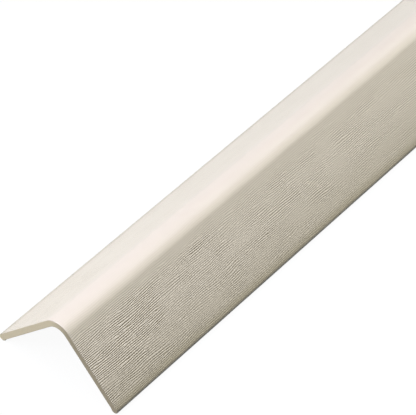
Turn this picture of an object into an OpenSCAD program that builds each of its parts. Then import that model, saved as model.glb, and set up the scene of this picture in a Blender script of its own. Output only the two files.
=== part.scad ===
// Stair nosing trim: one extruded plastic angle that covers the front edge of a step.
// The length runs along X. The piece stands as a tent on a level floor, with the nose up
// and both free edges down, and its origin is on the floor in the middle of its footprint.

/* [Stock] */
// Length that the piece is cut to
length = 1000; // [100:50:3000]

/* [Section] */
// Width of the front flange, from the sharp corner of the outer faces to its free edge
front_w = 30; // [18:0.5:60]
// Width of the back flange, measured the same way
back_w = 30; // [18:0.5:60]
// Thickness of both flanges and of the bend between them
wall = 2; // [1:0.1:4]
// Inner radius of the bend, which fits over the edge of the step
bend_r = 3.5; // [1:0.25:8]
// Angle between the flanges, a little under square so that both edges press on the step
corner_a = 88; // [80:0.5:100]
// How far the round bead on each free edge stands in from the inner face
bead_lip = 0.2; // [0:0.05:0.5]

/* [Quality] */
// Facets of a full circle
facets = 96; // [48:12:192]

/* [Hidden] */
trim_c = [0.90, 0.87, 0.80];

// Outer radius of the nose
nose_r = bend_r + wall;
// Distance from the sharp outer corner to where a flat face turns into the nose
flat_from = nose_r / tan(corner_a / 2);
// Radius of the bead, which is flush with the outer face
bead_r = (wall + bead_lip) / 2;
// Reach of the square that keeps one side of the section
keep = 2 * max(front_w, back_w);

// Centre of the bead on a back flange of this width. The sharp outer corner is the origin
// here, and the corner opens downwards, evenly to both sides.
function bead_at(width) = [
    (width - bead_r) * sin(corner_a / 2) - bead_r * cos(corner_a / 2),
    -(width - bead_r) * cos(corner_a / 2) - bead_r * sin(corner_a / 2)
];
back_bead = bead_at(back_w);
front_bead = [-bead_at(front_w)[0], bead_at(front_w)[1]];

// Slope from bead to bead, which is level when the flanges are equal, and their middle
slope_a = atan2(back_bead[1] - front_bead[1], back_bead[0] - front_bead[0]);
mid_bead = (front_bead + back_bead) / 2;

// A flange along +X with its outer face on the X axis, and the bead on its free edge
module flange(width) {
    translate([flat_from, -wall]) square([width - bead_r - flat_from, wall]);
    translate([width - bead_r, -bead_r]) circle(r = bead_r, $fn = facets);
}

// The quarter ring of the bend that starts where that flange ends
module bend() {
    translate([flat_from, -nose_r]) intersection() {
        difference() {
            circle(r = nose_r, $fn = facets);
            circle(r = bend_r, $fn = facets);
        }
        translate([-keep, 0]) square([keep, keep]);
    }
}

// The back half of the section, cut off in the middle plane of the corner
module half(width) {
    intersection() {
        rotate(corner_a / 2 - 90) {
            flange(width);
            bend();
        }
        translate([0, -keep]) square([keep, keep]);
    }
}

// The whole section on the floor, with Y to the right and Z up
module section() {
    translate([0, bead_r]) rotate(-slope_a) translate(-mid_bead) {
        half(back_w);
        mirror([1, 0]) half(front_w);
    }
}

module nosing_trim() {
    color(trim_c)
    translate([-length / 2, 0, 0])
    rotate([90, 0, 90])
    linear_extrude(height = length) section();
}

nosing_trim();
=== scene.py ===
"""Stair nosing trim: one ivory plastic angle with a round nose, beaded edges and an embossed wood grain.

The trim stands on its two free edges with the nose up, and its length runs along X. Sizes are in metres.
"""
import logging
import math
from dataclasses import dataclass, field
from enum import Enum

import bmesh
import bpy
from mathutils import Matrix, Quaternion, Vector, noise


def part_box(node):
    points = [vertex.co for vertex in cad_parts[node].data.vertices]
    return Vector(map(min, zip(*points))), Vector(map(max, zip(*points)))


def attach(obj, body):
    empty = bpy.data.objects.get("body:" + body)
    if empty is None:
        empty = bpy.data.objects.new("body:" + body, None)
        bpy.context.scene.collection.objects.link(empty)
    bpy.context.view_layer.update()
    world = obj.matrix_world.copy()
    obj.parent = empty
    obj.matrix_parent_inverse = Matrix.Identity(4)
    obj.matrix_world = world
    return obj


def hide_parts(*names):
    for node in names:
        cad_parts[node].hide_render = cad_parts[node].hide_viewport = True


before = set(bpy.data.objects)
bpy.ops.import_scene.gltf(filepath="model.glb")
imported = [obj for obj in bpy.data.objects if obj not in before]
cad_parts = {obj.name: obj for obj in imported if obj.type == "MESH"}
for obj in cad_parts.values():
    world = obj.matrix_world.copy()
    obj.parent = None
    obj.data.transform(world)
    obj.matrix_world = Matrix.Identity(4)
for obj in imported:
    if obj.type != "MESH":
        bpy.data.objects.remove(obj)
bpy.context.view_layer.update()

TRIM_NODE = "nosing_trim"
MM = 0.001
# Two points this close count as one.
SAME_PLACE = 0.001 * MM

log = logging.getLogger("stair_trim")

Colour = tuple[float, float, float]
Point = tuple[float, float, float]
Socket = bpy.types.NodeSocket

WHITE: Colour = (1.0, 1.0, 1.0)
COOL: Colour = (0.95, 0.97, 1.09)
WARM: Colour = (1.06, 1.03, 0.88)


class Stretch(Enum):
    """The stretches of the section's outline, in the order in which it is walked."""

    BACK_BEAD = "back bead"
    BACK_FACE = "back face"
    NOSE = "nose"
    FRONT_FACE = "front face"
    FRONT_BEAD = "front bead"
    FRONT_INSIDE = "front inside"
    BEND_INSIDE = "bend inside"
    BACK_INSIDE = "back inside"


class Finish(Enum):
    """The finishes of the trim, each with its material index."""

    EMBOSSED = 0
    SMOOTH = 1
    SAWN = 2


EMBOSSED_STRETCHES = (Stretch.BACK_FACE, Stretch.NOSE, Stretch.FRONT_FACE)
INSIDE_STRETCHES = (Stretch.FRONT_INSIDE, Stretch.BEND_INSIDE, Stretch.BACK_INSIDE)


def smooth_step(low: float, high: float, value: float) -> float:
    """Eases a value from 0 at the low limit to 1 at the high one."""
    share = min(max((value - low) / (high - low), 0.0), 1.0)
    return share * share * (3.0 - 2.0 * share)


@dataclass(frozen=True)
class Stroke:
    """One straight or round stretch of the outline, walked with the outside on the right.

    Attributes:
        stretch: Which stretch it is.
        start: Its first point, as Y and Z.
        heading: Its direction at the first point, in radians from +Y.
        length: Its length along the surface.
        turn: How far it turns to the left over that length, 0 where it is straight.
    """

    stretch: Stretch
    start: Vector
    heading: float
    length: float
    turn: float

    def at(self, along: float) -> tuple[Vector, Vector]:
        """Finds a point of the stroke.

        Args:
            along: Distance from the first point, along the surface.

        Returns:
            The point and the outward normal there, each as Y and Z.
        """
        first = self.heading
        angle = first + self.turn * along / self.length
        if self.turn:
            radius = self.length / self.turn
            chord = Vector((math.sin(angle) - math.sin(first), math.cos(first) - math.cos(angle)))
            place = self.start + chord * radius
        else:
            place = self.start + Vector((math.cos(angle), math.sin(angle))) * along
        return place, Vector((math.sin(angle), -math.cos(angle)))


@dataclass(frozen=True)
class TrimSection:
    """The trim's cross-section: two equal flanges, a round nose and a bead on each free edge.

    Attributes:
        half_width: Half of the footprint, from the middle to the outside of a bead.
        wall: Thickness of the flanges and of the bend.
        bend_radius: Inner radius of the bend.
        corner: Angle between the flanges.
        bead_lip: How far a bead stands in from the inner face.
    """

    half_width: float
    wall: float = 2.0 * MM
    bend_radius: float = 3.5 * MM
    corner: float = math.radians(88.0)
    bead_lip: float = 0.2 * MM

    @property
    def half_corner(self) -> float:
        """Angle between a flange and the upright through the nose."""
        return self.corner / 2.0

    @property
    def bead_radius(self) -> float:
        """Radius of the round bead, which is flush with the outer face."""
        return (self.wall + self.bead_lip) / 2.0

    @property
    def nose_radius(self) -> float:
        """Outer radius of the nose, round the same middle as the bend."""
        return self.bend_radius + self.wall

    @property
    def nose_length(self) -> float:
        """Length of the nose, from one flat outer face round to the other."""
        return self.nose_radius * (math.pi - self.corner)

    @property
    def bead_from_corner(self) -> float:
        """Distance along a flange from the sharp outer corner to the middle of its bead."""
        lean = self.bead_radius * math.cos(self.half_corner)
        return (self.half_width - self.bead_radius + lean) / math.sin(self.half_corner)

    @property
    def face_length(self) -> float:
        """Length of the flat outer face of a flange, from the nose to the bead."""
        return self.bead_from_corner - self.nose_radius / math.tan(self.half_corner)

    @property
    def corner_height(self) -> float:
        """Height of the sharp outer corner over the floor."""
        rise = self.bead_from_corner * math.cos(self.half_corner)
        return self.bead_radius * (1.0 + math.sin(self.half_corner)) + rise

    def strokes(self) -> list[Stroke]:
        """Walks the outline once round, from the inner end of the back bead over the nose and back inside.

        Returns:
            The strokes, in the order of Stretch.
        """
        crease = math.acos((self.wall - self.bead_radius) / self.bead_radius)
        bead_turn = math.pi + crease
        bend_turn = math.pi - self.corner
        inside = self.face_length - self.bead_radius * math.sin(crease)
        # Each stroke's length, how far it turns, and the sharp turn at its start.
        plan = (
            (Stretch.BACK_BEAD, self.bead_radius * bead_turn, bead_turn, -crease),
            (Stretch.BACK_FACE, self.face_length, 0.0, 0.0),
            (Stretch.NOSE, self.nose_length, bend_turn, 0.0),
            (Stretch.FRONT_FACE, self.face_length, 0.0, 0.0),
            (Stretch.FRONT_BEAD, self.bead_radius * bead_turn, bead_turn, 0.0),
            (Stretch.FRONT_INSIDE, inside, 0.0, -crease),
            (Stretch.BEND_INSIDE, self.bend_radius * bend_turn, -bend_turn, 0.0),
            (Stretch.BACK_INSIDE, inside, 0.0, 0.0),
        )
        # The way down the back flange, as an angle and as a direction, and the flange's outward normal.
        down_back = self.half_corner - math.pi / 2.0
        reach = Vector((math.sin(self.half_corner), -math.cos(self.half_corner)))
        bead_normal = Vector((math.cos(self.half_corner), math.sin(self.half_corner)))
        bead_middle = Vector((0.0, self.corner_height)) + reach * self.bead_from_corner
        bead_middle -= bead_normal * self.bead_radius
        first_normal = Vector((math.sin(down_back - crease), -math.cos(down_back - crease)))
        place = bead_middle + first_normal * self.bead_radius
        heading = down_back
        made = []
        for stretch, length, turn, corner_turn in plan:
            heading += corner_turn
            stroke = Stroke(stretch, place, heading, length, turn)
            place = stroke.at(length)[0]
            heading += turn
            made.append(stroke)
        return made


class GrainNoise(Enum):
    """The grain's independent slow noises, each with the height at which the solid noise is cut."""

    EVEN = 1.7
    ODD = 4.1
    SWAY = 7.3
    PATCH = 9.9


@dataclass(frozen=True)
class GrainPoint:
    """What the grain does at one point of the outer face.

    Attributes:
        even: Weight of the cosine of the lines.
        odd: Weight of their sine.
        sway: How far the lines are pushed sideways.
        press: How hard the embossing roller presses, from 0 to 1.
        depth: The groove's share of the full depth.
    """

    even: float
    odd: float
    sway: float
    press: float
    depth: float


@dataclass(frozen=True)
class WoodGrain:
    """Wavy lines along the trim that fork, fade out and start again, as on embossed wood grain.

    Two slow noises weigh a cosine and a sine of one pitch, so the lines keep their spacing while their
    strength and their phase wander.

    Attributes:
        pitch: Spacing of the lines.
        run: Length over which a line keeps its strength.
        spread: Width over which neighbouring lines swell and fade together.
        sway: How far the lines wander sideways.
        sway_run: Length of one such bend.
        sway_spread: Width over which the lines bend together.
        fork: How far the lines fade where they fork.
        depth: Depth of the deepest grooves under the outer face.
        light_press: Share of the depth that the roller presses over most of the length.
        firm_press: Share of the depth that it presses at the near cut.
        firm_run: How far from the near cut it takes to ease off.
        cut_press: How much more it presses next to the near cut.
        cut_hold: How far from the near cut it keeps that up.
        cut_run: How far from the near cut that ends.
        patch_run: Length of the patches in which the roller presses more or less.
        patch_spread: Width of those patches.
        patch_share: How much the patches differ.
    """

    pitch: float = 0.53 * MM
    run: float = 6.0 * MM
    spread: float = 2.4 * MM
    sway: float = 0.3 * MM
    sway_run: float = 8.0 * MM
    sway_spread: float = 4.0 * MM
    fork: float = 0.08
    depth: float = 0.06 * MM
    light_press: float = 0.34
    firm_press: float = 0.64
    firm_run: float = 130.0 * MM
    cut_press: float = 0.34
    cut_hold: float = 17.0 * MM
    cut_run: float = 34.0 * MM
    patch_run: float = 10.0 * MM
    patch_spread: float = 3.5 * MM
    patch_share: float = 1.0

    def drift(self, along: float, across: float, which: GrainNoise) -> float:
        """Reads one slow noise.

        Args:
            along: Distance along the trim.
            across: Distance round the section.
            which: The noise to read.

        Returns:
            The noise, from -1 to 1.
        """
        cells = {
            GrainNoise.SWAY: (self.sway_run, self.sway_spread),
            GrainNoise.PATCH: (self.patch_run, self.patch_spread),
        }
        run, spread = cells.get(which, (self.run, self.spread))
        return noise.noise(Vector((along / run, across / spread, which.value)))

    def press(self, along: float) -> float:
        """Gives how hard the roller presses before the patches are counted in.

        Args:
            along: Distance along the trim from the near cut.

        Returns:
            The share of the full depth.
        """
        firm = 1.0 - smooth_step(0.0, self.firm_run, along)
        near_cut = 1.0 - smooth_step(self.cut_hold, self.cut_run, along)
        return self.light_press + (self.firm_press - self.light_press) * firm + self.cut_press * near_cut

    def at(self, along: float, across: float, place: float) -> GrainPoint:
        """Finds the grain at a point.

        Args:
            along: Distance along the grain's own pattern.
            across: Distance round the section.
            place: Distance along the trim, for the roller.

        Returns:
            The lines, the roller's pressure and the depth there.
        """
        sway = self.sway * self.drift(along, across, GrainNoise.SWAY)
        phase = math.tau * (across + sway) / self.pitch
        even = self.drift(along, across, GrainNoise.EVEN)
        odd = self.drift(along, across, GrainNoise.ODD)
        strength = math.hypot(even, odd) + self.fork
        even, odd = even / strength, odd / strength
        wave = even * math.cos(phase) + odd * math.sin(phase)
        patch = 1.0 + self.patch_share * self.drift(along, across, GrainNoise.PATCH)
        press = min(self.press(place) * patch, 1.0)
        return GrainPoint(even, odd, sway, press, depth=(1.0 + wave) / 2.0)


class Shader:
    """Adds the nodes of one material, or of the surround, and wires them."""

    def __init__(self, owner: bpy.types.Material | bpy.types.World, output: str = "OutputMaterial") -> None:
        """Empties a new material or surround down to an output node.

        Args:
            owner: What the nodes belong to.
            output: The output node's type, without its ShaderNode prefix.
        """
        self.owner = owner
        self.owner.use_nodes = True
        self.tree = self.owner.node_tree
        self.tree.nodes.clear()
        self.output = self.tree.nodes.new("ShaderNode" + output)

    def add(self, kind: str, inputs: dict[str | int, object] | None = None,
            **settings: str) -> bpy.types.Node:
        """Adds a node.

        Args:
            kind: The node's type, without its ShaderNode prefix.
            inputs: Sockets by name or number, each with a constant or with the socket that feeds it.
            **settings: The node's own settings.

        Returns:
            The new node.
        """
        node = self.tree.nodes.new("ShaderNode" + kind)
        for key, value in settings.items():
            setattr(node, key, value)
        for key, value in (inputs or {}).items():
            if isinstance(value, Socket):
                self.tree.links.new(value, node.inputs[key])
            else:
                node.inputs[key].default_value = value
        return node

    def math(self, operation: str, *values: float | Socket) -> Socket:
        """Adds a Math node for one to three values and returns the result's socket."""
        return self.add("Math", dict(enumerate(values)), operation=operation).outputs[0]

    def noise(self, place: Socket, cells: float | Point, detail: float) -> Socket:
        """Adds a noise texture.

        Args:
            place: Where the texture is read.
            cells: Cells a metre, one number or one for each direction.
            detail: How many finer layers it has.

        Returns:
            The socket of its value, about 0 to 1.
        """
        scale = cells
        if isinstance(cells, tuple):
            place = self.add("Mapping", {"Vector": place, "Scale": cells}).outputs[0]
            scale = 1.0
        inputs = {"Vector": place, "Scale": scale, "Detail": detail}
        return self.add("TexNoise", inputs).outputs["Fac"]

    def attribute(self, name: str) -> Socket:
        """Reads a number that the mesh holds at its points."""
        return self.add("Attribute", attribute_name=name).outputs["Fac"]

    def ramp(self, value: Socket, low: float, high: float) -> Socket:
        """Eases a value from 0 at the low limit to 1 at the high one."""
        inputs = {"Value": value, "From Min": low, "From Max": high}
        return self.add("MapRange", inputs, interpolation_type="SMOOTHSTEP").outputs[0]

    def blend(self, share: Socket, first: Colour | Socket, second: Colour) -> Socket:
        """Mixes two colours by the share of the second, counted from 0 to 1."""
        # A Mix node has sockets for every kind of data, of which 6, 7 and the result 2 carry colours.
        start = rgba(first) if isinstance(first, tuple) else first
        return self.add("Mix", {0: share, 6: start, 7: rgba(second)}, data_type="RGBA").outputs[2]

    def surface(self, shader: Socket) -> bpy.types.Material | bpy.types.World:
        """Wires a shader to the output and returns the material or surround."""
        self.tree.links.new(shader, self.output.inputs["Surface"])
        return self.owner


def new_shader(name: str) -> Shader:
    """Starts the nodes of a new material."""
    return Shader(bpy.data.materials.new(name))


def rgba(colour: Colour) -> tuple[float, float, float, float]:
    """Adds a full alpha to a colour."""
    return (*colour, 1.0)


@dataclass(frozen=True)
class Plastic:
    """What every finish of the trim has.

    Attributes:
        name: The material's name.
        roughness: Middle roughness.
        rough_change: How much the finish's noise changes it in all.
        ior: Index of refraction.
        sheen: How much the dull skin whitens at a flat angle.
        sheen_roughness: How soft that whitening is.
    """

    name: str
    roughness: float
    rough_change: float
    ior: float = 1.5
    sheen: float = 0.0
    sheen_roughness: float = 0.5

    def coat(self, shader: Shader, colour: Socket, texture: Socket, height: Socket,
             depth: float) -> bpy.types.Material:
        """Ends a material in this plastic.

        Args:
            shader: The material being built.
            colour: Its colour.
            texture: The noise that makes it rougher or smoother, from 0 to 1.
            height: Height of its relief.
            depth: Depth of the relief for each 1 of that height.

        Returns:
            The finished material.
        """
        bump = shader.add("Bump", {"Strength": 1.0, "Distance": depth, "Height": height})
        smoothest = self.roughness - self.rough_change / 2.0
        plastic = shader.add("BsdfPrincipled", {
            "Base Color": colour,
            "Roughness": shader.math("MULTIPLY_ADD", texture, self.rough_change, smoothest),
            "IOR": self.ior,
            "Normal": bump.outputs[0],
            "Sheen Weight": self.sheen,
            "Sheen Roughness": self.sheen_roughness,
        })
        return shader.surface(plastic.outputs[0])


@dataclass(frozen=True)
class EmbossedFinish(Plastic):
    """The visible outer face: satin ivory plastic, with the sharp bottoms of the grain's grooves.

    Attributes:
        pitch: Spacing of the grain's lines.
        ridge: Colour between the grooves.
        groove_tone_and_shade: Colour in the grooves: the grain's darker tone, deepened by painted shade.
        painted_edge_shade: Painted shade along the free edges and round the beads.
        painted_underside_shade: Painted shade on the underside of the front bead, a thin dark line from
            above.
        painted_highlight_tint: Painted highlight tint, a paler and less yellow colour along the nose.
        highlight_tint_share: How much of that colour the middle of the strip shows.
        groove_depth: Depth that the sharp part of a groove adds to the mesh.
        groove_start: Height of the wave at which a groove begins.
        groove_full: Height of the wave at which it is at its deepest.
        flat: Where the unpressed surface lies between a ridge at 0 and a groove at 1.
        streaks: Scratches a metre, along the trim and round the section.
        streak_detail: How many finer layers the scratches have.
        streak_depth: Depth of the scratches between the lines.
        clouds: Slow clouds of colour and gloss a metre.
        cloud_detail: How many finer layers the clouds have.
        cloud_tint: How much the clouds change the colour.
    """

    name: str = "ivory_embossed"
    roughness: float = 0.40
    rough_change: float = 0.10
    sheen: float = 0.35
    pitch: float = WoodGrain.pitch
    ridge: Colour = (0.90, 0.82, 0.675)
    groove_tone_and_shade: Colour = (0.17, 0.135, 0.065)
    painted_edge_shade: Colour = (0.38, 0.335, 0.225)
    painted_underside_shade: Colour = (0.02, 0.018, 0.014)
    painted_highlight_tint: Colour = (0.630, 0.560, 0.485)
    highlight_tint_share: float = 0.9
    groove_depth: float = 0.07 * MM
    groove_start: float = -0.35
    groove_full: float = 0.6
    flat: float = 0.3
    streaks: Point = (140.0, 2300.0, 1.0)
    streak_detail: float = 2.0
    streak_depth: float = 0.008 * MM
    clouds: float = 45.0
    cloud_detail: float = 3.0
    cloud_tint: float = 0.08

    def groove(self, shader: Shader, uv: Socket) -> Socket:
        """Follows the mesh's own lines and keeps their sharp bottoms.

        Args:
            shader: The material being built.
            uv: Distance along the trim and round the section.

        Returns:
            The socket of a groove's strength, from 0 to 1.
        """
        across = shader.add("SeparateXYZ", {0: uv}).outputs["Y"]
        shifted = shader.math("ADD", across, shader.attribute("grain_sway"))
        phase = shader.math("MULTIPLY", shifted, math.tau / self.pitch)
        even = shader.math("MULTIPLY", shader.attribute("grain_even"), shader.math("COSINE", phase))
        wave = shader.math("MULTIPLY_ADD", shader.attribute("grain_odd"), shader.math("SINE", phase), even)
        groove = shader.ramp(wave, self.groove_start, self.groove_full)
        over_flat = shader.math("SUBTRACT", groove, self.flat)
        return shader.math("MULTIPLY_ADD", over_flat, shader.attribute("grain_press"), self.flat)

    def material(self) -> bpy.types.Material:
        """Builds the material.

        Returns:
            The material of the outer faces and the beads.
        """
        shader = new_shader(self.name)
        uv = shader.add("UVMap", uv_map="surface").outputs["UV"]
        groove = self.groove(shader, uv)
        streak = shader.noise(uv, self.streaks, self.streak_detail)
        cloud = shader.noise(uv, self.clouds, self.cloud_detail)
        depth = shader.math("MULTIPLY", groove, -self.groove_depth)
        height = shader.math("MULTIPLY_ADD", streak, self.streak_depth, depth)
        tone = shader.math("MULTIPLY_ADD", cloud, self.cloud_tint, groove)
        # The grooves' colour is partly the grain's tone and partly painted shade.
        colour = shader.blend(tone, self.ridge, self.groove_tone_and_shade)
        # Painted highlight: the nose gets a paler, less yellow tint where the light catches it.
        painted_highlight_tint = shader.math("MULTIPLY", shader.attribute("painted_highlight_tint"), self.highlight_tint_share)
        colour = shader.blend(painted_highlight_tint, colour, self.painted_highlight_tint)
        # Painted shade: darker bands along the free edges and round the beads.
        painted_edge_shade = shader.attribute("painted_edge_shade")
        colour = shader.blend(painted_edge_shade, colour, self.painted_edge_shade)
        # Painted shade: the front bead's underside goes near-black.
        colour = shader.blend(shader.math("SUBTRACT", painted_edge_shade, 1.0), colour, self.painted_underside_shade)
        # The height is in metres already.
        return self.coat(shader, colour, cloud, height, 1.0)


@dataclass(frozen=True)
class SmoothFinish(Plastic):
    """The inside: the same plastic as it left the die, with faint draw lines along the length.

    Attributes:
        light: Its paler colour.
        shade: Its darker colour.
        lines: Draw lines a metre, along the trim and round the section.
        line_detail: How many finer layers the lines have.
        line_depth: Depth of the lines.
        clouds: Slow clouds of colour a metre.
        cloud_detail: How many finer layers the clouds have.
    """

    name: str = "ivory_smooth"
    roughness: float = 0.34
    rough_change: float = 0.12
    light: Colour = (0.80, 0.725, 0.585)
    shade: Colour = (0.76, 0.685, 0.545)
    lines: Point = (3.0, 1400.0, 1.0)
    line_detail: float = 2.0
    line_depth: float = 0.006 * MM
    clouds: float = 30.0
    cloud_detail: float = 3.0

    def material(self) -> bpy.types.Material:
        """Builds the material.

        Returns:
            The material of the inner faces.
        """
        shader = new_shader(self.name)
        uv = shader.add("UVMap", uv_map="surface").outputs["UV"]
        lines = shader.noise(uv, self.lines, self.line_detail)
        cloud = shader.noise(uv, self.clouds, self.cloud_detail)
        return self.coat(shader, shader.blend(cloud, self.light, self.shade), lines, lines, self.line_depth)


@dataclass(frozen=True)
class SawnFinish(Plastic):
    """The cut ends: dull plastic with the fine parallel marks of a saw blade.

    Attributes:
        light: Its colour on the marks.
        shade: Its colour between them.
        painted_cut_shade: Painted shade on the front flange's cut, which is darker.
        cut_shade_start: Place along Y at which the painted shade begins.
        cut_shade_full: Place along Y at which it is at its darkest.
        cut_shade_full: Place along Y at which it is at its darkest.
        marks: Saw marks a metre, along X, Y and Z.
        mark_detail: How many finer layers the marks have.
        mark_depth: Depth of the marks.
    """

    name: str = "ivory_sawn"
    roughness: float = 0.6
    rough_change: float = 0.2
    light: Colour = (0.80, 0.70, 0.48)
    shade: Colour = (0.69, 0.60, 0.40)
    painted_cut_shade: Colour = (0.385, 0.33, 0.22)
    cut_shade_start: float = 3.0 * MM
    cut_shade_full: float = -5.0 * MM
    marks: Point = (1.0, 5200.0, 500.0)
    mark_detail: float = 3.0
    mark_depth: float = 0.02 * MM

    def material(self) -> bpy.types.Material:
        """Builds the material.

        Returns:
            The material of both cuts.
        """
        shader = new_shader(self.name)
        place = shader.add("TexCoord").outputs["Object"]
        marks = shader.noise(place, self.marks, self.mark_detail)
        colour = shader.blend(marks, self.shade, self.light)
        across = shader.add("SeparateXYZ", {0: place}).outputs["Y"]
        # Painted shade: the cut darkens towards the front flange.
        cut_shade_mask = shader.math("SUBTRACT", 1.0, shader.ramp(across, self.cut_shade_full, self.cut_shade_start))
        return self.coat(shader, shader.blend(cut_shade_mask, colour, self.painted_cut_shade), marks, marks, self.mark_depth)


@dataclass
class NosingTrim:
    """The whole trim as one closed skin, wrapped round the section from a flat sheet.

    Attributes:
        low_x: Where the near cut is.
        high_x: Where the far cut is.
        section: The cross-section.
        grain: The embossed wood grain.
        name: The piece's name.
        fine_step: Column width on the embossed faces.
        bead_step: Column width round a bead.
        bend_step: Column width round the inner bend.
        plain_step: Column width on the flat inside.
        near_step: Row spacing over the first part of the length.
        near_length: How far the close rows go.
        far_step: Row spacing that the rest grows to.
        growth: How much wider each row of the rest is than the last.
        cut_ease: Size of the broken edge round a cut.
        ease_round: Where the broken edge has its middle row, as a share of that size from both faces.
        cut_uv: How far apart the skin and the two cuts lie on the UV map.
        bead_fade: Distance over which the grain runs out on a bead.
        nose_press: Share of the grain's depth on top of the nose, where the roller hardly reaches.
        nose_start: Distance from the top of the nose at which the grain begins to deepen.
        nose_full: Distance from there at which it has its full depth.
        back_press: Share of the grain's depth on the back flange, which looks smooth in the photo.
        highlight_tint_back: How far behind the top of the nose the strip of painted highlight tint has its
            middle.
        highlight_tint_start: Distance from that middle at which the strip begins to fade.
        highlight_tint_end: Distance from there at which it has gone.
        edge_shade_width: Width of the band of painted shade along the front flange's free edge, darker
            towards the floor.
        edge_shade_narrow: Width of the narrow, darker band of painted shade in it, next to the bead.
        back_shade_width: Width of the narrow band of painted shade along the back flange's free edge.
        wide_share: Strength of the wide band.
        edge_share: Strength that the narrow band adds.
        back_share: Strength of the narrow band along the back flange's free edge.
        underside_shade_start: Distance round the front bead at which the painted shade of its underside
            begins.
        underside_shade_full: Distance round it at which that painted shade is at its darkest.
    """

    low_x: float
    high_x: float
    section: TrimSection
    grain: WoodGrain = field(default_factory=WoodGrain)
    name: str = "embossed_trim"
    fine_step: float = 0.155 * MM
    bead_step: float = 0.45 * MM
    bend_step: float = 0.6 * MM
    plain_step: float = 8.0 * MM
    near_step: float = 1.25 * MM
    near_length: float = 100.0 * MM
    far_step: float = 6.5 * MM
    growth: float = 1.03
    cut_ease: float = 0.12 * MM
    ease_round: float = 0.3
    cut_uv: float = 0.2
    bead_fade: float = 1.2 * MM
    nose_press: float = 0.08
    nose_start: float = 3.0 * MM
    nose_full: float = 10.0 * MM
    back_press: float = 0.35
    highlight_tint_back: float = 1.0 * MM
    highlight_tint_start: float = 0.5 * MM
    highlight_tint_end: float = 5.5 * MM
    edge_shade_width: float = 14.0 * MM
    edge_shade_narrow: float = 2.5 * MM
    back_shade_width: float = 3.2 * MM
    wide_share: float = 0.4
    edge_share: float = 0.58
    back_share: float = 0.95
    underside_shade_start: float = 0.3 * MM
    underside_shade_full: float = 1.0 * MM

    def step_of(self, stretch: Stretch) -> float:
        """Gives the column width of a stretch.

        Args:
            stretch: The stretch of the outline.

        Returns:
            The width that its columns come close to.
        """
        if stretch in EMBOSSED_STRETCHES:
            return self.fine_step
        if stretch is Stretch.BEND_INSIDE:
            return self.bend_step
        return self.plain_step if stretch in INSIDE_STRETCHES else self.bead_step

    def columns(self) -> list[tuple[Stroke, float, float]]:
        """Divides the outline into columns.

        Returns:
            For each line between columns its stroke, its distance along that stroke and its distance round
            the outline. The last line lies on the first.
        """
        lines = []
        walked = 0.0
        strokes = self.section.strokes()
        for stroke in strokes:
            count = max(1, round(stroke.length / self.step_of(stroke.stretch)))
            for index in range(count):
                along = stroke.length * index / count
                lines.append((stroke, along, walked + along))
            walked += stroke.length
        lines.append((strokes[-1], strokes[-1].length, walked))
        return lines

    def rows(self) -> list[tuple[float, float]]:
        """Divides the length into rows.

        Returns:
            For each row its place along X and how far it is drawn in for the broken edge of the cut.
        """
        middle_ease = self.ease_round * self.cut_ease
        ease = ((0.0, self.cut_ease), (middle_ease, middle_ease))
        inner_low = self.low_x + self.cut_ease
        inner_high = self.high_x - self.cut_ease
        places = [inner_low]
        step = self.near_step
        while places[-1] + step < inner_high:
            places.append(places[-1] + step)
            if places[-1] - self.low_x > self.near_length:
                step = min(step * self.growth, self.far_step)
        stretch = (inner_high - inner_low) / (places[-1] - inner_low)
        middle = [(inner_low + (place - inner_low) * stretch, 0.0) for place in places]
        start = [(self.low_x + inset, pull) for inset, pull in ease]
        end = [(self.high_x - inset, pull) for inset, pull in reversed(ease)]
        return start + middle + end

    def past_top(self, stroke: Stroke, along: float) -> float:
        """Measures how far a line of an outer face is from the top of the nose.

        Args:
            stroke: The line's stroke.
            along: Its distance along that stroke.

        Returns:
            The distance round the section, less than 0 towards the back.
        """
        half_nose = self.section.nose_length / 2.0
        starts = {
            Stretch.BACK_FACE: -half_nose - stroke.length,
            Stretch.NOSE: -half_nose,
            Stretch.FRONT_FACE: half_nose,
        }
        return starts[stroke.stretch] + along

    def highlight_tint_share(self, stroke: Stroke, along: float) -> float:
        """Gives how much painted highlight tint a line has.

        Args:
            stroke: The line's stroke.
            along: Its distance along that stroke.

        Returns:
            1 in the middle of the tinted strip and 0 outside it.
        """
        if stroke.stretch not in EMBOSSED_STRETCHES:
            return 0.0
        past_middle = self.past_top(stroke, along) + self.highlight_tint_back
        return 1.0 - smooth_step(self.highlight_tint_start, self.highlight_tint_end, abs(past_middle))

    def grain_share(self, stroke: Stroke, along: float) -> float:
        """Gives how strongly the grain shows on a line.

        Args:
            stroke: The line's stroke.
            along: Its distance along that stroke.

        Returns:
            1 where it is strongest, on the front face, and 0 round the beads and inside.
        """
        if stroke.stretch in EMBOSSED_STRETCHES:
            past = self.past_top(stroke, along)
            most = self.back_press if past < 0.0 else 1.0
            full = smooth_step(self.nose_start, self.nose_full, abs(past))
            return self.nose_press + (most - self.nose_press) * full
        if stroke.stretch is Stretch.FRONT_BEAD:
            return 1.0 - smooth_step(0.0, self.bead_fade, along)
        if stroke.stretch is Stretch.BACK_BEAD:
            return self.back_press * (1.0 - smooth_step(0.0, self.bead_fade, stroke.length - along))
        return 0.0

    def edge_shade_share(self, stroke: Stroke, along: float) -> float:
        """Gives how much painted edge shade a line has.

        Args:
            stroke: The line's stroke.
            along: Its distance along that stroke.

        Returns:
            0 on the faces, 1 on a bead and up to 2 on the front bead's underside, where the painted shade
            is darkest.
        """
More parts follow.
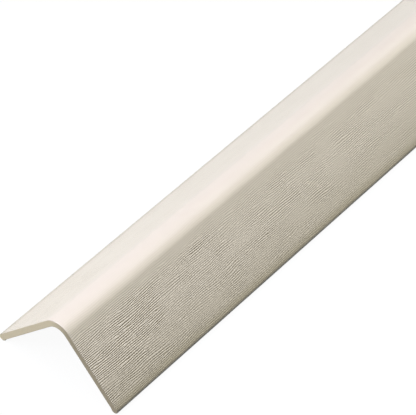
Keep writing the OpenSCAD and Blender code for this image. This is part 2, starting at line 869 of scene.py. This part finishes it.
        # Painted shade: bands that darken towards the free edges, and the front bead's underside.
        left = stroke.length - along
        if stroke.stretch is Stretch.FRONT_FACE:
            wide = 1.0 - smooth_step(0.0, self.edge_shade_width, left)
            narrow = 1.0 - smooth_step(0.0, self.edge_shade_narrow, left)
            return self.wide_share * wide + self.edge_share * narrow
        if stroke.stretch is Stretch.BACK_FACE:
            return self.back_share * (1.0 - smooth_step(0.0, self.back_shade_width, along))
        start = self.wide_share + self.edge_share
        if stroke.stretch is Stretch.FRONT_BEAD:
            painted_underside_shade = smooth_step(self.underside_shade_start, self.underside_shade_full, along)
            return start + (1.0 - start) * smooth_step(0.0, self.bead_fade, along) + painted_underside_shade
        if stroke.stretch is Stretch.BACK_BEAD:
            return self.back_share + (1.0 - self.back_share) * smooth_step(0.0, self.bead_fade, left)
        return 0.0

    def wrap(self, bm: bmesh.types.BMesh) -> None:
        """Makes a flat sheet and wraps it round the section, with the grain pressed into the outer faces.

        Args:
            bm: The empty mesh that gets the sheet.
        """
        columns = self.columns()
        rows = self.rows()
        wide = len(columns) - 1
        long = len(rows) - 1
        half_sheet = 0.5
        bmesh.ops.create_grid(bm, x_segments=wide, y_segments=long, size=half_sheet)
        names = ("grain_even", "grain_odd", "grain_sway", "grain_press", "painted_edge_shade", "painted_highlight_tint")
        even, odd, sway, press, painted_edge_shade, painted_highlight_tint = (bm.verts.layers.float.new(name) for name in names)
        uv = bm.loops.layers.uv.new("surface")
        spots = {}
        for vert in bm.verts:
            column = round((vert.co.x + half_sheet) * wide)
            row = round((vert.co.y + half_sheet) * long)
            stroke, along, walked = columns[column]
            x, pull = rows[row]
            place, normal = stroke.at(along)
            share = self.grain_share(stroke, along)
            if share:
                # The pattern counts rows, so it stretches with them where they are further apart.
                grain = self.grain.at(row * self.near_step, walked, x - self.low_x)
                vert[even] = grain.even
                vert[odd] = grain.odd
                vert[sway] = grain.sway
                vert[press] = grain.press * share
                pull += grain.depth * grain.press * share * self.grain.depth
            vert[painted_edge_shade] = self.edge_shade_share(stroke, along)
            vert[painted_highlight_tint] = self.highlight_tint_share(stroke, along)
            place -= normal * pull
            vert.co = (x, place.x, place.y)
            spots[vert] = (x - self.low_x, walked)
        inside_lines = [walked for stroke, _, walked in columns if stroke.stretch in INSIDE_STRETCHES]
        for face in bm.faces:
            inside = all(spots[vert][1] > inside_lines[0] - SAME_PLACE for vert in face.verts)
            face.material_index = Finish.SMOOTH.value if inside else Finish.EMBOSSED.value
            face.smooth = True
            for loop in face.loops:
                loop[uv].uv = spots[loop.vert]

    def close(self, bm: bmesh.types.BMesh) -> None:
        """Joins the sheet's long edges inside the trim and closes both cuts.

        Args:
            bm: The wrapped sheet.
        """
        uv = bm.loops.layers.uv["surface"]
        rim_verts = [vert for vert in bm.verts if vert.is_boundary]
        bmesh.ops.remove_doubles(bm, verts=rim_verts, dist=SAME_PLACE)
        open_edges = [edge for edge in bm.edges if edge.is_boundary]
        ends = bmesh.ops.edgeloop_fill(bm, edges=open_edges, mat_nr=Finish.SAWN.value, use_smooth=False)
        for face in ends["faces"]:
            for loop in face.loops:
                x, y, z = loop.vert.co
                along = 2.0 * self.cut_uv if x > 0.0 else self.cut_uv
                loop[uv].uv = (along + y, self.cut_uv + z)
        bmesh.ops.recalc_face_normals(bm, faces=bm.faces)

    def build(self) -> bpy.types.Object:
        """Builds the trim's object.

        Returns:
            The object, at the origin, with its three finishes.
        """
        bm = bmesh.new()
        self.wrap(bm)
        self.close(bm)
        mesh = bpy.data.meshes.new(self.name)
        bm.to_mesh(mesh)
        bm.free()
        # In the order of Finish, whose values are their indices.
        for finish in (EmbossedFinish(), SmoothFinish(), SawnFinish()):
            mesh.materials.append(finish.material())
        piece = bpy.data.objects.new(self.name, mesh)
        bpy.context.scene.collection.objects.link(piece)
        return piece

    def fit(self, piece: bpy.types.Object) -> None:
        """Puts the piece in the CAD solid's place.

        Args:
            piece: The built trim.
        """
        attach(piece, "root")
        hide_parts(TRIM_NODE)


@dataclass(frozen=True)
class SoftBox:
    """One rectangular studio light.

    Attributes:
        name: Its name.
        aim: The point that it faces.
        bearing: Direction from that point to the lamp, in degrees from +X towards +Y.
        rise: How high the lamp stands over that point, in degrees.
        power: Its power in watts.
        distance: How far it is from that point.
        width: Its level size.
        height: Its other size.
        tint: Its colour.
    """

    name: str
    aim: Point
    bearing: float
    rise: float
    power: float
    distance: float = 0.9
    width: float = 0.3
    height: float = 0.3
    tint: Colour = WHITE

    def build(self) -> bpy.types.Object:
        """Builds the lamp.

        Returns:
            The lamp's object, facing its aim.
        """
        lamp = bpy.data.lights.new(self.name, "AREA")
        lamp.shape = "RECTANGLE"
        lamp.size = self.width
        lamp.size_y = self.height
        lamp.energy = self.power
        lamp.color = self.tint
        light = bpy.data.objects.new(self.name, lamp)
        bpy.context.scene.collection.objects.link(light)
        turn, tilt = math.radians(self.bearing), math.radians(self.rise)
        back = Vector((math.cos(turn) * math.cos(tilt), math.sin(turn) * math.cos(tilt), math.sin(tilt)))
        light.location = Vector(self.aim) + back * self.distance
        light.rotation_mode = "QUATERNION"
        light.rotation_quaternion = (-back).to_track_quat("-Z", "Y")
        return light


# The middle of what the photo shows, and a point just past the near cut.
IN_VIEW: Point = (-0.43, 0.0, 0.01)
PAST_NEAR_CUT: Point = (-0.6, 0.0, 0.0)


@dataclass(frozen=True)
class Studio:
    """A plain pale floor, an even white surround and soft lights.

    Attributes:
        floor_half: Half of the floor's side.
        floor_bounce: How much light the floor sends back to the object.
        floor_shadow: Share of the floor's white that a shadow can take away.
        paper_white: Brightness of that share in full light.
        ambient: Strength of the even light from all round.
        boxes: The lamps.
    """

    floor_half: float = 30.0
    floor_bounce: float = 0.12
    floor_shadow: float = 0.05
    paper_white: float = 0.95
    ambient: float = 0.08
    boxes: tuple[SoftBox, ...] = (
        SoftBox("strip", aim=(-0.1, 0.0, 0.0), bearing=90.0, rise=75.0, power=3.7,
                distance=1.2, width=2.4, height=0.5),
        SoftBox("back_light", aim=IN_VIEW, bearing=150.0, rise=35.0, power=4.9, tint=COOL),
        SoftBox("front_fill", aim=IN_VIEW, bearing=330.0, rise=35.0, power=1.6, tint=WARM),
        SoftBox("middle_light", aim=IN_VIEW, bearing=0.0, rise=60.0, power=0.6, tint=COOL),
        SoftBox("near_top", aim=PAST_NEAR_CUT, bearing=90.0, rise=90.0, power=0.9,
                distance=0.5, height=0.2, tint=COOL),
        SoftBox("near_back", aim=PAST_NEAR_CUT, bearing=90.0, rise=60.0, power=0.9,
                distance=0.5, height=0.2, tint=COOL),
        SoftBox("far_top", aim=(0.35, 0.0, 0.0), bearing=90.0, rise=85.0, power=1.9,
                distance=0.6, width=0.7),
        SoftBox("far_front", aim=(0.4, 0.0, 0.0), bearing=290.0, rise=35.0, power=1.1,
                distance=0.6, width=0.5),
        SoftBox("far_end", aim=(0.5, 0.0, 0.01), bearing=0.0, rise=25.0, power=2.5),
    )

    def seen(self, shader: Shader) -> Socket:
        """Tells camera, mirror and glass rays from the rays that only carry light.

        Args:
            shader: The material or surround that asks.

        Returns:
            A socket that is 1 for rays that show the floor or the surround.
        """
        path = shader.add("LightPath").outputs
        mirror_or_glass = shader.math("MAXIMUM", path["Is Glossy Ray"], path["Is Transmission Ray"])
        return shader.math("MAXIMUM", path["Is Camera Ray"], mirror_or_glass)

    def floor(self) -> bpy.types.Object:
        """Builds the floor, white to look at and grey in what it sends back.

        Returns:
            The floor's object.
        """
        bm = bmesh.new()
        bmesh.ops.create_grid(bm, x_segments=1, y_segments=1, size=self.floor_half)
        mesh = bpy.data.meshes.new("floor")
        bm.to_mesh(mesh)
        bm.free()
        shader = new_shader("floor_white")
        white = shader.add("Emission", {"Color": rgba(WHITE), "Strength": 1.0})
        paper = shader.add("BsdfDiffuse", {"Color": rgba((self.paper_white,) * 3)})
        bounce = shader.add("BsdfDiffuse", {"Color": rgba((self.floor_bounce,) * 3)})
        shown = shader.add("MixShader", {0: self.floor_shadow, 1: white.outputs[0], 2: paper.outputs[0]})
        both = shader.add("MixShader", {0: self.seen(shader), 1: bounce.outputs[0], 2: shown.outputs[0]})
        mesh.materials.append(shader.surface(both.outputs[0]))
        floor = bpy.data.objects.new("floor", mesh)
        bpy.context.scene.collection.objects.link(floor)
        return floor

    def world(self) -> None:
        """Sets a surround that looks white and lights the object evenly."""
        world = bpy.data.worlds.new("surround")
        bpy.context.scene.world = world
        shader = Shader(world, "OutputWorld")
        limits = {"Value": self.seen(shader), "To Min": self.ambient, "To Max": 1.0}
        strength = shader.add("MapRange", limits)
        background = shader.add("Background", {"Color": rgba(WHITE), "Strength": strength.outputs[0]})
        shader.surface(background.outputs[0])

    def build(self) -> int:
        """Builds the floor, the surround and the lamps.

        Returns:
            How many lamps there are.
        """
        self.floor()
        self.world()
        for box in self.boxes:
            box.build()
        return len(self.boxes)


@dataclass(frozen=True)
class PhotoCamera:
    """The camera at the photograph's viewing angle, in the 416 x 415 frame.

    Attributes:
        azimuth: Where it stands round the object, 0 looking along +Y, in degrees.
        elevation: How steeply it looks down, in degrees.
        roll: How far it leans, in degrees.
        distance: How far it is from the point that it aims at.
        aim: That point.
        lens: Focal length in millimetres on the sensor.
        sensor: Width of the sensor in millimetres.
        clip_near: Distance from which it sees.
        clip_far: Distance up to which it sees, past the floor's far side.
    """

    azimuth: float = -53.1517
    elevation: float = 44.7814
    roll: float = 2.9973
    distance: float = 0.69856
    aim: Point = (-0.433946, 0.003620, 0.010)
    lens: float = 221.827
    sensor: float = 36.0
    clip_near: float = 0.01
    clip_far: float = 100.0

    def build(self) -> bpy.types.Object:
        """Builds the camera and makes it the scene's own.

        Returns:
            The camera's object.
        """
        data = bpy.data.cameras.new("photo_camera")
        data.lens = self.lens
        data.sensor_width = self.sensor
        data.clip_start = self.clip_near
        data.clip_end = self.clip_far
        camera = bpy.data.objects.new("photo_camera", data)
        bpy.context.scene.collection.objects.link(camera)
        turn, tilt = math.radians(self.azimuth), math.radians(self.elevation)
        back = Vector((math.sin(turn) * math.cos(tilt), -math.cos(turn) * math.cos(tilt), math.sin(tilt)))
        level = (-back).to_track_quat("-Z", "Y")
        camera.location = Vector(self.aim) + back * self.distance
        camera.rotation_mode = "QUATERNION"
        camera.rotation_quaternion = level @ Quaternion((0.0, 0.0, 1.0), math.radians(self.roll))
        bpy.context.scene.camera = camera
        return camera


def main() -> None:
    """Builds the camera, the trim and the studio, and reports each piece."""
    logging.basicConfig(level=logging.INFO, format="%(message)s")
    bpy.context.scene.view_settings.view_transform = "Standard"
    PhotoCamera().build()
    low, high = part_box(TRIM_NODE)
    trim = NosingTrim(low.x, high.x, TrimSection(half_width=high.y))
    piece = trim.build()
    trim.fit(piece)
    log.info("%s: %d faces", piece.name, len(piece.data.polygons))
    lamps = Studio().build()
    log.info("studio: %d lamps", lamps)


if __name__ == "__main__":
    main()
